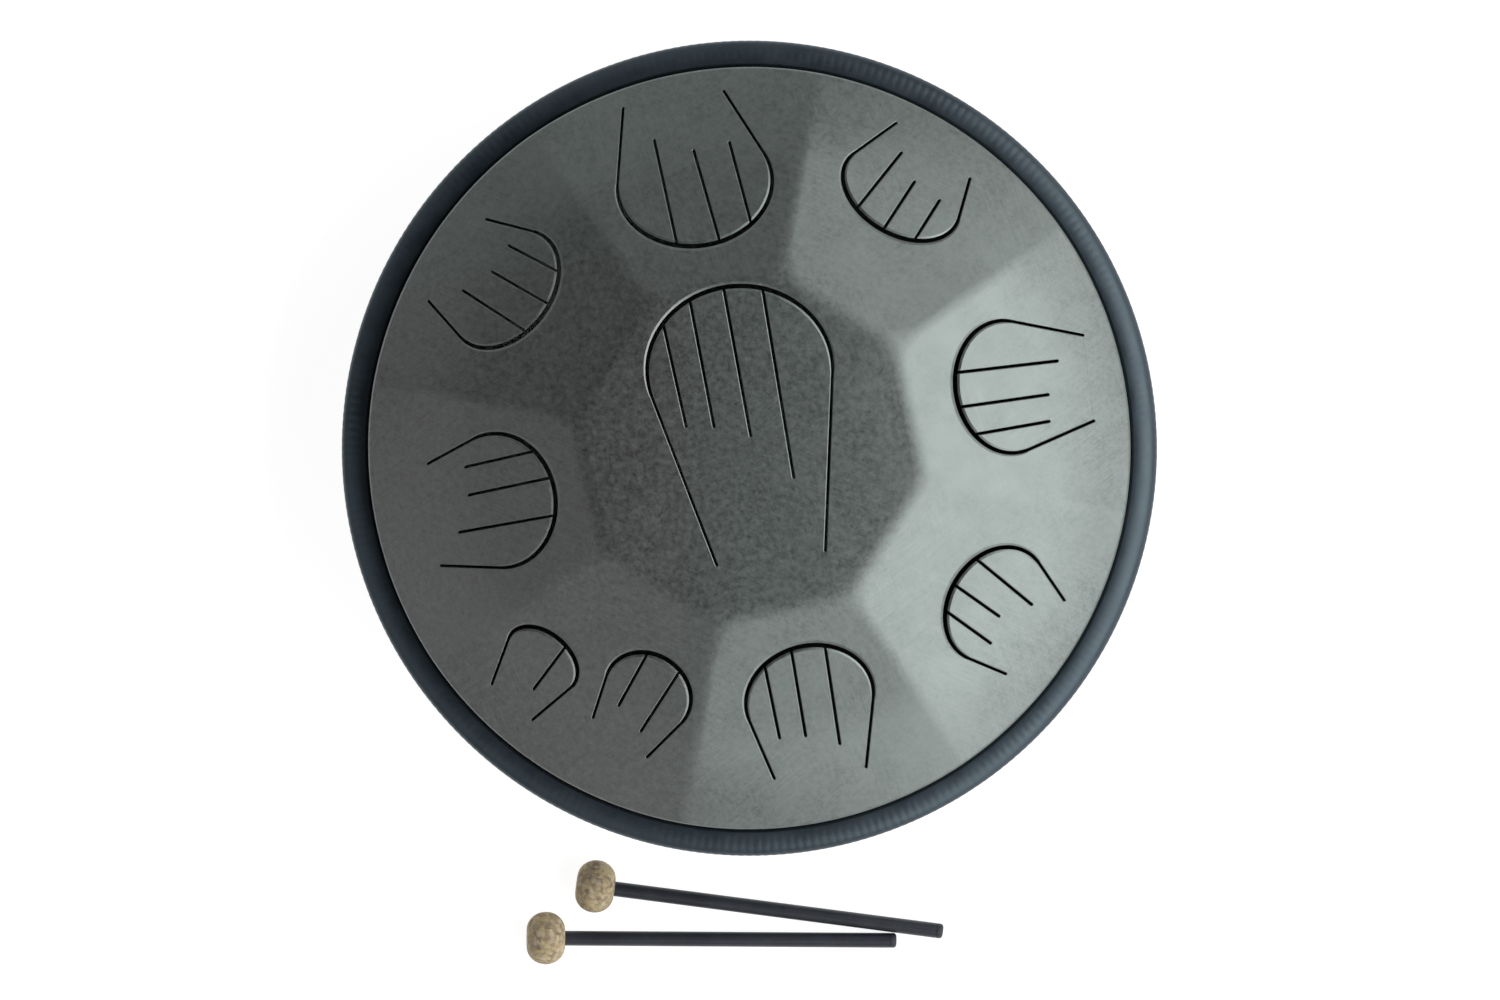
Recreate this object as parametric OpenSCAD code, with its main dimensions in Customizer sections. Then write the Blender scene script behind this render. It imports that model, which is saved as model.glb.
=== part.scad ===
// Steel tongue drum with ten slit tongues, a ribbed rim trim and two mallets.
// Origin: centre of the base ring's lower face, on the surface that the drum stands on.
// +Z up; the centre tongue points to +Y, and the mallets lie on the -Y side.

/* [Drum] */
// Outside diameter over the rim trim
drum_d = 460; // [440:1:500]
// Thickness of the steel sheet of both shells
sheet_t = 1.5; // [1.2:0.1:2]
// Width of the flat of each flange
flange_w = 10.1; // [9:0.1:13]
// Thickness of the adhesive between the two flanges
bond_t = 0.5; // [0.3:0.1:1]

/* [Top shell] */
// Width of the central disc across its flats
disc_d = 184; // [176:1:196]
// Half width of the soft bend round the disc
disc_soft = 5; // [3:0.5:10]
// Number of flat facets round the disc
facets = 8; // [6:1:12]
// Direction of the first crease between two facets, in degrees
crease_turn = -10.3; // [-22:0.1:22]
// Half width of a crease between two facets where it leaves the disc
crease_start_soft = 12; // [6:0.5:24]
// Half width of a crease further out, where it is sharper
crease_soft = 4; // [2:0.5:10]
// Length over which a crease sharpens
sharpen_w = 25; // [15:1:50]
// Slope at the edge of the crowned disc, in degrees
crown_slope = 3.2; // [0.5:0.1:5]
// Slope of the facets next to the disc, in degrees
facet_slope = 18; // [14:1:22]
// Slope of the top shell at its edge, in degrees
edge_slope = 29; // [24:1:40]
// Width of the zone in which the slope steepens towards the edge
steepen_w = 64; // [50:1:80]
// Width of the zone in which the facets curve towards the round edge
fade_w = 60; // [40:1:70]
// How far they have become round at the edge, as a share
edge_round_share = 0.5; // [0.3:0.05:1]
// Inside radius of the bend from the top down to the wall
edge_in_r = 0.8; // [0.5:0.1:2]
// Slope of the wall, in degrees
wall_slope = 88; // [75:1:89]
// Height of the wall between its bends
wall_h = 10; // [4:0.5:20]
// Radius of the bend between the wall and the flange
foot_bend_r = 1.6; // [1:0.1:2.5]

/* [Tongue slits] */
// Width of a slit along the tongue's rounded tip
tip_slit_w = 2.4; // [1.6:0.1:3]
// Width of a slit along the tongue's straight legs
leg_slit_w = 1.4; // [1:0.1:2]
// Width of the finger slits that split a tongue's tip
finger_slit_w = 1.5; // [1:0.1:2]
// Gap at the root, between a tongue and the sheet that it flexes from
root_gap = 0.1; // [0.05:0.01:0.2]

/* [Bottom shell] */
// Depth of the bowl, from its flange to its floor
bowl_depth = 70; // [60:1:90]
// Diameter of the bowl's flat floor
floor_d = 190; // [188:1:210]
// Steepness of the bowl's side below the flange, in degrees
bowl_sweep = 75; // [60:1:80]
// Radius of the bend between the bowl and its flange
bowl_bend_r = 3; // [2:0.5:5]
// Diameter of the sound port
port_d = 104; // [80:1:120]
// Height of the neck that is turned into the port
neck_h = 12; // [9:0.5:20]
// Radius of the bend between the floor and the neck
neck_bend_r = 3; // [2:0.5:5]

/* [Base ring] */
// Height of the rubber ring that the drum stands on
base_h = 14; // [8:0.5:20]
// Outside diameter of the base ring
base_d = 184; // [164:1:188]
// Width of the base ring's section
base_w = 20; // [12:0.5:24]
// Rounding of the base ring's lower edges
base_round = 3; // [1:0.5:4]

/* [Rim trim] */
// Thickness of the rubber outside the carrier, over the rim
trim_wall = 2.5; // [2:0.1:3.5]
// Thickness of the rubber above and below the carrier
lip_t = 3; // [2.6:0.1:3.6]
// Rounding of the trim's two lips
lip_round = 0.9; // [0.5:0.1:1.1]
// How far the lips reach in past the flats of the flanges
lip_in = 0.3; // [0.1:0.1:0.5]
// Thickness of the thin skirt that reaches in from the upper lip
skirt_t = 0.8; // [0.6:0.1:1]
// Height of the skirt's underside above the lip's
skirt_up = 0.5; // [0.4:0.05:0.8]
// Gap between the skirt and the bend at the foot of the wall
skirt_gap = 0.2; // [0.2:0.05:0.4]
// Thickness of the steel carrier strip inside the trim
carrier_t = 0.8; // [0.6:0.1:1]
// Inside radius of the carrier's two bends
carrier_bend_r = 0.2; // [0.1:0.05:0.3]
// Gap between the carrier and the flanges that it clips over
clip_gap = 0.1; // [0.05:0.05:0.2]

/* [Mallets] */
// Length of a mallet, from the middle of its head to its tail
mallet_len = 200.5; // [180:0.5:215]
// Diameter of the shaft
shaft_d = 8.5; // [7:0.1:10]
// Bore of the tubular shaft
shaft_bore = 5.2; // [4:0.1:5.4]
// Diameter of the head
head_d = 30; // [26:0.5:32]
// Thickness of the head along the shaft
head_t = 21.8; // [20:0.2:26]
// How far the shaft reaches past the middle of the head
shaft_reach = 4; // [2:0.5:6]
// Length of the cap on the tail, outside the shaft
cap_len = 3.6; // [3:0.1:6]
// Length of the cap's spigot inside the shaft
spigot_len = 9; // [6:0.5:15]
// Rounding of the cap's end
cap_round = 1.8; // [1:0.1:2.5]
// Depth of the groove where the cap meets the shaft
groove_depth = 0.3; // [0.1:0.05:0.4]
// Distance of the outer mallet's tail from the drum's edge
mallet_out = 51; // [48:0.5:60]
// Distance of the outer mallet's tail to the right of the drum's middle
tail_right = 84; // [60:1:100]
// How far the inner mallet's tail lies past the outer one's
tail_past = 28; // [15:1:40]
// Turn of the outer mallet, its tail away from the drum, in degrees
outer_turn = 0.5; // [0:0.1:2]
// Angle between the two mallets, in degrees
splay = 7; // [5:0.5:12]
// Gap between the two mallets where their tails meet
mallet_gap = 0.3; // [0.3:0.1:2]
// Clearance of the glued fits in a mallet, at the radius
glue_fit = 0.05; // [0.02:0.01:0.1]

/* [Hidden] */

steel = [0.40, 0.44, 0.42];
dark_rubber = [0.14, 0.17, 0.21];
cork = [0.62, 0.53, 0.38];

// Radii of the shells, from the rim inwards
drum_r = drum_d/2;
shell_r = drum_r - trim_wall - carrier_t - clip_gap;
flange_r = shell_r - flange_w;
edge_bend_r = edge_in_r + sheet_t;
edge_r = flange_r - foot_bend_r*sin(wall_slope) - wall_h/tan(wall_slope)
    - edge_bend_r*(sin(wall_slope) - sin(edge_slope));
fade_r = edge_r - fade_w;
steepen_r = edge_r - steepen_w;
disc_r = disc_d/2;

// Heights of the floor, the flanges and the top shell
floor_z = base_h + sheet_t/2;
bowl_flange_z = floor_z + bowl_depth;
rim_z = bowl_flange_z + sheet_t/2 + bond_t/2;
edge_z = rim_z + bond_t/2 + sheet_t + foot_bend_r*(1 - cos(wall_slope)) + wall_h
    + edge_bend_r*(cos(edge_slope) - cos(wall_slope));

// Each soft bend of the top shell, going outwards: radius, half width, slope after it in degrees
bends = [
    [disc_r/2, disc_r/2, crown_slope],
    [disc_r, disc_soft, facet_slope],
    [steepen_r + steepen_w/2, steepen_w/2, edge_slope]
];
top_rise = drop(edge_r);

// Rings of the top shell's grid out to its edge, as distances from the drum's axis
steep_rings = 8;
grid_rings = [
    disc_r*1/3, disc_r*2/3,
    disc_r - disc_soft, disc_r, disc_r + disc_soft,
    (disc_r + disc_soft + steepen_r)/2,
    for (k = [0:steep_rings]) steepen_r + steepen_w*k/steep_rings
];
// Grid points in each facet, and round the whole drum
facet_steps = 12;
around = facets*facet_steps;
// Distance over which a slope of the top shell is measured
slope_probe = 0.05;

// The tongues. Each row: direction and radius share of the tip's centre, heading of the tip,
// half width share, half depth share, right and left leg ends as [direction, radius share],
// and the fingers as [start across, end across, end along] shares of the half width.
// Directions and headings are in degrees; the other shares are of the drum's radius.
tongue_shares = [
    [97, 0.191, 93, 0.225, 0.203, [-53.5, 0.310], [-105.5, 0.296],
        [[-0.80, -0.61, -0.58], [-0.50, -0.31, -0.60], [-0.13, 0.08, -0.72], [0.29, 0.52, -1.19]]],
    [101.7, 0.656, -83, 0.189, 0.152, [110.4, 0.885], [94.1, 0.874],
        [[0.32, 0.45, -0.63], [-0.23, -0.04, -0.43], [-0.66, -0.51, -0.48]]],
    [59.2, 0.723, -120, 0.154, 0.102, [65.7, 0.871], [50.7, 0.850],
        [[0.49, 0.32, -0.56], [-0.04, -0.09, -0.26], [-0.55, -0.58, -0.20]]],
    [13.3, 0.647, -171, 0.162, 0.129, [18.7, 0.860], [4.5, 0.844],
        [[0.33, 0.27, -0.80], [-0.19, -0.21, -0.58], [-0.63, -0.61, -0.53]]],
    [-32.4, 0.712, 148, 0.148, 0.115, [-25.8, 0.854], [-41.4, 0.834],
        [[0.46, 0.31, -0.50], [-0.09, -0.14, -0.14], [-0.53, -0.59, -0.26]]],
    [-76.5, 0.628, 105, 0.157, 0.129, [-69.9, 0.829], [-85.7, 0.809],
        [[-0.54, -0.61, -0.47], [-0.08, -0.21, -0.54], [0.44, 0.27, -0.80]]],
    [-112.5, 0.646, 55, 0.110, 0.094, [-108.3, 0.794], [-120.1, 0.760],
        [[-0.51, -0.37, -0.59], [0.30, 0.36, -0.78]]],
    [-134.4, 0.721, 50, 0.098, 0.064, [-128.6, 0.849], [-137.5, 0.853],
        [[0.24, 0.31, -0.71]]],
    [-168.1, 0.624, 10, 0.164, 0.139, [-159.1, 0.805], [-177.2, 0.785],
        [[-0.63, -0.58, -0.40], [-0.20, -0.16, -0.42], [0.36, 0.36, -0.66]]],
    [147, 0.711, -38, 0.160, 0.113, [155.4, 0.862], [139, 0.851],
        [[-0.71, -0.56, -0.36], [-0.23, -0.09, -0.31], [0.31, 0.41, -0.49]]]
];
// Steps along a tongue's tip, and sides of the round ends of a slit
tip_steps = 18;
slit_sides = 16;

// Steps in a rounded corner, in a bend of the top shell's edge and along the side of the bowl
corner_steps = 6;
edge_steps = 3;
bowl_steps = 14;

// Overrun of the cuts
over = 1;

// Section of the rim trim, as half heights from the rim's middle and radii
pack_half = sheet_t + bond_t/2;
clip_half = pack_half + clip_gap;
carrier_half = clip_half + carrier_t;
trim_half = carrier_half + lip_t;
skirt_low = clip_half + skirt_up;
lip_r = flange_r - lip_in;
bend_left = max(0, foot_bend_r - (skirt_low - pack_half));
skirt_r = flange_r - sqrt(foot_bend_r*foot_bend_r - bend_left*bend_left) + skirt_gap;
dome_r = lip_r + lip_round;
carrier_in_r = lip_r + lip_t/2;
carrier_out_r = shell_r + clip_gap + carrier_t;
// Steps over the rounded outside of the trim
dome_steps = 18;

// Ends of the mallets, seen from above
shaft_r = shaft_d/2;
head_r = head_d/2;
tilt = asin((head_r - shaft_r)/mallet_len);
inner_turn = outer_turn + splay;
outer_tail = [tail_right, -drum_r - mallet_out];
meet = outer_tail - cap_round*past(outer_turn) + shaft_r*beside(outer_turn);
inner_tail = meet + (shaft_r + mallet_gap)*beside(inner_turn) + tail_past*past(inner_turn);

// Directions past the tail of a mallet, and beside it towards the drum
function past(turn) = [cos(turn), -sin(turn)];
function beside(turn) = [sin(turn), cos(turn)];

// A straight line with its corner at 0 softened over w on each side
function soft_ramp(s, w) = s <= -w ? 0 : s >= w ? s : (s + w)*(s + w)/(4*w);
function soft_abs(s, w) = abs(s) < w ? (s*s + w*w)/(2*w) : abs(s);
function smooth_step(s) = let (t = max(0, min(1, s))) t*t*(3 - 2*t);

// How far the top shell has dropped at distance q from the middle
function drop(q, i = 0) = i == len(bends) ? 0
    : (tan(bends[i][2]) - (i == 0 ? 0 : tan(bends[i - 1][2])))*soft_ramp(q - bends[i][0], bends[i][1])
        + drop(q, i + 1);

// Distance of a point from the middle, measured square to its own facet and rounder near the edge
function facet_distance(x, y) =
    let (
        r = norm([x, y]),
        step = 360/facets,
        turn = atan2(y, x) - crease_turn,
        off = turn - step*round(turn/step),
        soft = crease_start_soft
            + (crease_soft - crease_start_soft)*smooth_step((r - disc_r)/sharpen_w),
        flat = r*cos(off)*cos(step/2) + soft_abs(r*sin(off), soft)*sin(step/2),
        fade = edge_round_share*smooth_step((r - fade_r)/fade_w)
    ) flat + (r - flat)*fade;

function top_z(x, y) = edge_z + top_rise - drop(facet_distance(x, y));

function top_normal(x, y) =
    let (
        along = (top_z(x + slope_probe, y) - top_z(x - slope_probe, y))/(2*slope_probe),
        up = (top_z(x, y + slope_probe) - top_z(x, y - slope_probe))/(2*slope_probe),
        n = [-along, -up, 1]
    ) n/norm(n);

// A grid ring follows the facets near the disc and is round at the edge
function ring_point(q, j) =
    let (
        a = crease_turn + 360*j/around,
        step = 360/facets,
        off = 360*j/around - step*round(j/facet_steps),
        fade = smooth_step((q - fade_r)/fade_w),
        r = q/(cos(step/2 - abs(off))*(1 - fade) + fade)
    ) [r*cos(a), r*sin(a)];

function lift(p) = [p.x, p.y, top_z(p.x, p.y)];
function sink(p) = lift(p) - sheet_t*top_normal(p.x, p.y);

// Points of an arc that starts at p with heading a and ends with heading b, turning left or right,
// each with its own heading
function bend_line(p, a, b, r, steps = corner_steps) =
    let (side = b > a ? 1 : -1, centre = p + side*r*[-sin(a), cos(a)])
    [for (k = [0:steps])
        let (h = a + (b - a)*k/steps)
        [centre.x + side*r*sin(h), centre.y - side*r*cos(h), h]];

// Outer face of the top shell's section, from the edge over the wall to the flange
function edge_line() =
    let (
        edge = bend_line([edge_r, edge_z], -edge_slope, -wall_slope, edge_bend_r, edge_steps),
        top = edge[edge_steps],
        foot = bend_line([top.x + wall_h/tan(wall_slope), top.y - wall_h],
            -wall_slope, 0, foot_bend_r, edge_steps)
    ) concat(
        [for (k = [1:edge_steps]) edge[k]],
        foot,
        [[shell_r, foot[edge_steps].y, 0]]
    );

// How much higher than at a facet's middle the edge lies in direction a
function edge_rise(a) = top_z(edge_r*cos(a), edge_r*sin(a)) - edge_z;

// A ring of points at radius r and height z, which rises with the edge above the wall
function ring(r, z, above_wall) = [
    for (j = [0:around - 1])
        let (a = crease_turn + 360*j/around)
        [r*cos(a), r*sin(a), z + (above_wall ? edge_rise(a) : 0)]
];

// The whole top sheet with no slits in it
module top_sheet() {
    flat_points = [[0, 0], for (q = grid_rings, j = [0:around - 1]) ring_point(q, j)];
    edge_points = edge_line();
    edge_rings = [for (i = [0:len(edge_points) - 1]) [edge_points[i], i < edge_steps]];
    points = concat(
        [for (p = flat_points) lift(p)],
        [for (e = edge_rings) let (p = e[0]) each ring(p.x, p.y, e[1])],
        [for (p = flat_points) sink(p)],
        [for (e = edge_rings)
            let (p = e[0])
            each ring(p.x + sheet_t*sin(p.z), p.y - sheet_t*cos(p.z), e[1])]
    );
    layer = len(points)/2;
    last = len(grid_rings) + len(edge_points) - 1;
    function at(i, j) = 1 + i*around + j%around;
    fan = [for (j = [0:around - 1]) [0, at(0, j + 1), at(0, j)]];
    skin = [
        for (i = [0:last - 1], j = [0:around - 1]) each [
            [at(i, j), at(i + 1, j + 1), at(i + 1, j)],
            [at(i, j), at(i, j + 1), at(i + 1, j + 1)]
        ]
    ];
    edge = [
        for (j = [0:around - 1]) each [
            [at(last, j), at(last, j + 1), layer + at(last, j)],
            [at(last, j + 1), layer + at(last, j + 1), layer + at(last, j)]
        ]
    ];
    outside = concat(fan, skin);
    inside = [for (f = outside) [layer + f[0], layer + f[2], layer + f[1]]];
    polyhedron(points, concat(outside, inside, edge), convexity = 6);
}

// A point given by its direction and its share of the drum's radius
function polar(p) = drum_r*p[1]*[cos(p[0]), sin(p[0])];

// A point in a tongue's own axes, across its width and along to its tip, in shares of its half sizes
function tip_point(t, across, along) =
    polar(t) + drum_r*(t[3]*across*[sin(t[2]), -cos(t[2])] + t[4]*along*[cos(t[2]), sin(t[2])]);

// Angle on the tip's ellipse where the leg that ends at p touches it
function leg_angle(t, p, side) =
    let (
        d = p - polar(t),
        x = d*[sin(t[2]), -cos(t[2])]/(drum_r*t[3]),
        y = d*[cos(t[2]), sin(t[2])]/(drum_r*t[4])
    ) atan2(y, x) + side*acos(1/norm([x, y]));

function up_from(a, start) = a - 360*floor((a - start)/360);

// Middle line of a tongue's slit: right leg, round the tip, left leg, each with its half width
function slit_line(t) =
    let (
        right = polar(t[5]),
        left = polar(t[6]),
        a0 = leg_angle(t, right, 1),
        a1 = up_from(leg_angle(t, left, -1), a0)
    ) [
        [right, leg_slit_w/2],
        for (k = [0:tip_steps])
            let (a = a0 + (a1 - a0)*k/tip_steps)
            [tip_point(t, cos(a), sin(a)),
                leg_slit_w/2 + (tip_slit_w - leg_slit_w)/2*sqrt(max(0, sin(180*k/tip_steps)))],
        [left, leg_slit_w/2]
    ];

module dot(p, r) {
    translate(p) circle(r = r, $fn = slit_sides);
}

// The curved slit that frees a tongue
module slit(t) {
    line = slit_line(t);
    for (k = [1:len(line) - 1]) hull() {
        dot(line[k - 1][0], line[k - 1][1]);
        dot(line[k][0], line[k][1]);
    }
}

// The area inside the slit, closed along the root and drawn back from it by gap
module tongue_area(t, gap) {
    ends = [polar(t[5]), polar(t[6])];
    along = (ends[1] - ends[0])/norm(ends[1] - ends[0]);
    back = gap*[along.y, -along.x];
    line = slit_line(t);
    last = len(line) - 1;
    polygon([for (k = [0:last]) line[k][0] + (k == 0 || k == last ? back : [0, 0])]);
}

// The straight slits that split a tongue's tip into fingers
module fingers(t) {
    slim = t[3]/t[4];
    for (f = t[7]) hull() {
        dot(tip_point(t, f[0], sqrt(1 - f[0]*f[0])), finger_slit_w/2);
        dot(tip_point(t, f[1], f[2]*slim), finger_slit_w/2);
    }
}

// A flat shape raised through the whole height of the drum
module through() {
    translate([0, 0, rim_z - over]) linear_extrude(edge_z + top_rise - rim_z + 2*over) children();
}

module top_shell() {
    color(steel) difference() {
        top_sheet();
        through() for (t = tongue_shares) {
            slit(t);
            tongue_area(t, 0);
        }
    }
}

// One tongue, lying in its opening in the top shell
module tongue(i) {
    t = tongue_shares[i];
    color(steel) intersection() {
        top_sheet();
        through() difference() {
            tongue_area(t, root_gap);
            slit(t);
            fingers(t);
        }
    }
}

// Both faces of a sheet round its middle line
function sheet_outline(line, t) = concat(
    [for (p = line) [p.x - t/2*sin(p.z), p.y + t/2*cos(p.z)]],
    [for (k = [len(line) - 1:-1:0]) [line[k].x + t/2*sin(line[k].z), line[k].y - t/2*cos(line[k].z)]]
);

// Middle line of the bottom shell's section, from the top of the neck to the edge of the flange
function bowl_line() =
    let (
        neck_r = port_d/2 + sheet_t/2,
        neck = bend_line([neck_r, floor_z + neck_bend_r], -90, 0, neck_bend_r),
        floor_r = floor_d/2,
        side_slope = function (w, h) atan2(h*sin(bowl_sweep), w*cos(bowl_sweep)),
        reach = function (s) flange_r - bowl_bend_r*sin(s) - floor_r,
        climb = function (s) bowl_depth - bowl_bend_r*(1 - cos(s)),
        guess = side_slope(reach(bowl_sweep)/sin(bowl_sweep), climb(bowl_sweep)/(1 - cos(bowl_sweep))),
        slope = side_slope(reach(guess)/sin(bowl_sweep), climb(guess)/(1 - cos(bowl_sweep))),
        wide = reach(slope)/sin(bowl_sweep),
        high = climb(slope)/(1 - cos(bowl_sweep)),
        side = [
            for (k = [0:bowl_steps])
                let (a = bowl_sweep*k/bowl_steps)
                [floor_r + wide*sin(a), floor_z + high*(1 - cos(a)), atan2(high*sin(a), wide*cos(a))]
        ],
        top = side[bowl_steps],
        flange = bend_line([top.x, top.y], top.z, 0, bowl_bend_r)
    ) concat(
        [[neck_r, floor_z - sheet_t/2 + neck_h, -90]],
        neck,
        side,
        [for (k = [1:corner_steps]) flange[k]],
        [[shell_r, flange[corner_steps].y, 0]]
    );

module bottom_shell() {
    color(steel) rotate_extrude($fn = 180) polygon(sheet_outline(bowl_line(), sheet_t));
}

function unit(v) = v/norm(v);

// The corner at b, between a and c, rounded to radius r
function corner(a, b, c, r) =
    r == 0 ? [[b.x, b.y]]
    : let (
        u = unit([a.x - b.x, a.y - b.y]),
        v = unit([c.x - b.x, c.y - b.y]),
        half = acos(u*v)/2,
        centre = [b.x, b.y] + unit(u + v)*r/sin(half),
        from = [b.x, b.y] + u*r/tan(half) - centre,
        sweep = (180 - 2*half)*(u.x*v.y - u.y*v.x > 0 ? -1 : 1),
        start = atan2(from.y, from.x)
    ) [for (k = [0:corner_steps])
        centre + r*[cos(start + sweep*k/corner_steps), sin(start + sweep*k/corner_steps)]];

// A closed outline of [x, y, corner radius] points with its corners rounded
function rounded(path) =
    let (n = len(path))
    [for (k = [0:n - 1]) each corner(path[(k + n - 1)%n], path[k], path[(k + 1)%n], path[k].z)];

module flange_bond() {
    color(dark_rubber) translate([0, 0, rim_z - bond_t/2]) difference() {
        cylinder(r = shell_r - bond_t, h = bond_t, $fn = 180);
        translate([0, 0, -over]) cylinder(r = flange_r + bond_t, h = bond_t + 2*over, $fn = 180);
    }
}

// Outer face of the carrier's section, a channel that is open inwards
function carrier_face() = [
    [carrier_in_r, -carrier_half, 0],
    [carrier_out_r, -carrier_half, carrier_bend_r + carrier_t],
    [carrier_out_r, carrier_half, carrier_bend_r + carrier_t],
    [carrier_in_r, carrier_half, 0]
];

module trim_carrier() {
    web_r = carrier_out_r - carrier_t;
    color("silver") translate([0, 0, rim_z]) rotate_extrude($fn = 180) polygon(rounded(concat(
        carrier_face(),
        [
            [carrier_in_r, clip_half, 0],
            [web_r, clip_half, carrier_bend_r],
            [web_r, -clip_half, carrier_bend_r],
            [carrier_in_r, -clip_half, 0]
        ]
    )));
}

// The trim has the carrier's bed inside it, and its lips come down to the flanges
module rim_trim() {
    dome = [
        for (k = [0:dome_steps])
            let (a = -90 + 180*k/dome_steps)
            [dome_r + (drum_r - dome_r)*cos(a), trim_half*sin(a)]
    ];
    lower_lip = corner([lip_r, -clip_half], [lip_r, -trim_half], [drum_r, -trim_half], lip_round);
    upper_lip = corner([drum_r, trim_half], [lip_r, trim_half], [lip_r, clip_half], lip_round);
    skirt = [
        for (k = [0:corner_steps])
            let (a = 90 + 180*k/corner_steps)
            [lip_r + (lip_r - skirt_r)*cos(a), skirt_low + skirt_t/2*(1 + sin(a))]
    ];
    inner_line = rounded(concat(
        [[lip_r, clip_half, 0], [carrier_in_r, clip_half, 0]],
        [for (k = [3:-1:0]) carrier_face()[k]],
        [[carrier_in_r, -clip_half, 0], [lip_r, -clip_half, 0]]
    ));
    color(dark_rubber) translate([0, 0, rim_z]) rotate_extrude($fn = 180) polygon(concat(
        lower_lip,
        [for (k = [1:dome_steps - 1]) dome[k]],
        upper_lip,
        skirt,
        inner_line
    ));
}

module base_ring() {
    color(dark_rubber) rotate_extrude($fn = 180) polygon(rounded([
        [base_d/2 - base_w, 0, base_round],
        [base_d/2, 0, base_round],
        [base_d/2, base_h, 0],
        [base_d/2 - base_w, base_h, 0]
    ]));
}

// Lays a mallet that is drawn upright, tail down, on its side with its head and tail on the ground
module lay(tail, heading) {
    translate([tail.x, tail.y, shaft_r]) rotate([0, tilt - 90, heading]) children();
}

module shaft() {
    color(dark_rubber) difference() {
        translate([0, 0, cap_len]) cylinder(r = shaft_r, h = mallet_len + shaft_reach - cap_len, $fn = 48);
        translate([0, 0, cap_len - over])
            cylinder(d = shaft_bore, h = mallet_len + shaft_reach - cap_len + 2*over, $fn = 48);
    }
}

// The cap closes the tail, and its spigot is glued into the shaft
module cap() {
    spigot_r = shaft_bore/2 - glue_fit;
    color(dark_rubber) rotate_extrude($fn = 48) polygon(concat(
        [[0, 0]],
        corner([0, 0], [shaft_r, 0], [shaft_r, cap_len], cap_round),
        [
            [shaft_r, cap_len - groove_depth],
            [shaft_r - groove_depth, cap_len],
            [spigot_r, cap_len],
            [spigot_r, cap_len + spigot_len],
            [0, cap_len + spigot_len]
        ]
    ));
}

// A bun with well rounded sides and flattened ends, bored for the shaft
module head() {
    end_r = head_r/3;
    bored_r = shaft_r + glue_fit;
    side = [
        for (k = [-corner_steps*2:corner_steps*2])
            let (a = 90*k/(corner_steps*2))
            [end_r + (head_r - end_r)*cos(a), mallet_len + head_t/2*sin(a)]
    ];
    color(cork) rotate_extrude($fn = 64) polygon(concat(
        [[bored_r, mallet_len - head_t/2]],
        side,
        [[0, mallet_len + head_t/2], [0, mallet_len + shaft_reach], [bored_r, mallet_len + shaft_reach]]
    ));
}

top_shell();
tongue(0);  // tongue_centre
tongue(1);  // tongue_top
tongue(2);  // tongue_top_right
tongue(3);  // tongue_right
tongue(4);  // tongue_lower_right
tongue(5);  // tongue_bottom
tongue(6);  // tongue_low_left
tongue(7);  // tongue_far_left
tongue(8);  // tongue_left
tongue(9);  // tongue_upper_left
bottom_shell();
flange_bond();
trim_carrier();
rim_trim();
base_ring();
lay(inner_tail, -inner_turn) shaft();  // mallet_1_shaft
lay(inner_tail, -inner_turn) head();  // mallet_1_head
lay(inner_tail, -inner_turn) cap();  // mallet_1_cap
lay(outer_tail, -outer_turn) shaft();  // mallet_2_shaft
lay(outer_tail, -outer_turn) head();  // mallet_2_head
lay(outer_tail, -outer_turn) cap();  // mallet_2_cap
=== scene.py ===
"""Steel tongue drum: a faceted top shell with ten slit tongues, a ribbed rim trim, a bowl and two mallets."""

import math

import bmesh
import bpy
from mathutils import Matrix, Vector, noise


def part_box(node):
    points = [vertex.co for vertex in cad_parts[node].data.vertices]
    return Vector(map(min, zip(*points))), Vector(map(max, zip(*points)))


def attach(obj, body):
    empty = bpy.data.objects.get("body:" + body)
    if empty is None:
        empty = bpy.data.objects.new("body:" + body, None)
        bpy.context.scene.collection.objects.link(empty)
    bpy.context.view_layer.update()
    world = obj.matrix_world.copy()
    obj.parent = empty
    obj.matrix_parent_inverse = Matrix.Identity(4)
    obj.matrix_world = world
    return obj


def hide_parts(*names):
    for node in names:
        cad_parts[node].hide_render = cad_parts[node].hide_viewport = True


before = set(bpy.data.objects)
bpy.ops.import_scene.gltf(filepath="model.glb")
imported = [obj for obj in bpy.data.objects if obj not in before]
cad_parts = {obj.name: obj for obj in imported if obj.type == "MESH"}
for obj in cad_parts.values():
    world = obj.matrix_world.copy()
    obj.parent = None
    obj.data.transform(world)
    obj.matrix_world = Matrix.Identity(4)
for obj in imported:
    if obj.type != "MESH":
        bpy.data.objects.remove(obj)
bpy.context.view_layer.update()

# Lengths below are in millimetres and angles in degrees; meshes are scaled by MM when they are made.
MM = 0.001


def node_box(node):
    """Lowest and highest corner of a CAD node, in millimetres."""
    lo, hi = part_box(node)
    return Vector(lo) / MM, Vector(hi) / MM


# The drum's outside, taken from the frame
RIM_LO, RIM_HI = node_box("rim_trim")
BASE_HI = node_box("base_ring")[1]
DRUM_R = RIM_HI.x
RIM_Z = (RIM_LO.z + RIM_HI.z) / 2
BASE_R = BASE_HI.x
BASE_H = BASE_HI.z

# Sheet and flanges
SHEET_T = 1.5
BOND_T = 0.5
SHELL_R = node_box("bottom_shell")[1].x
FLANGE_W = 10.1
FLANGE_R = SHELL_R - FLANGE_W

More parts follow.
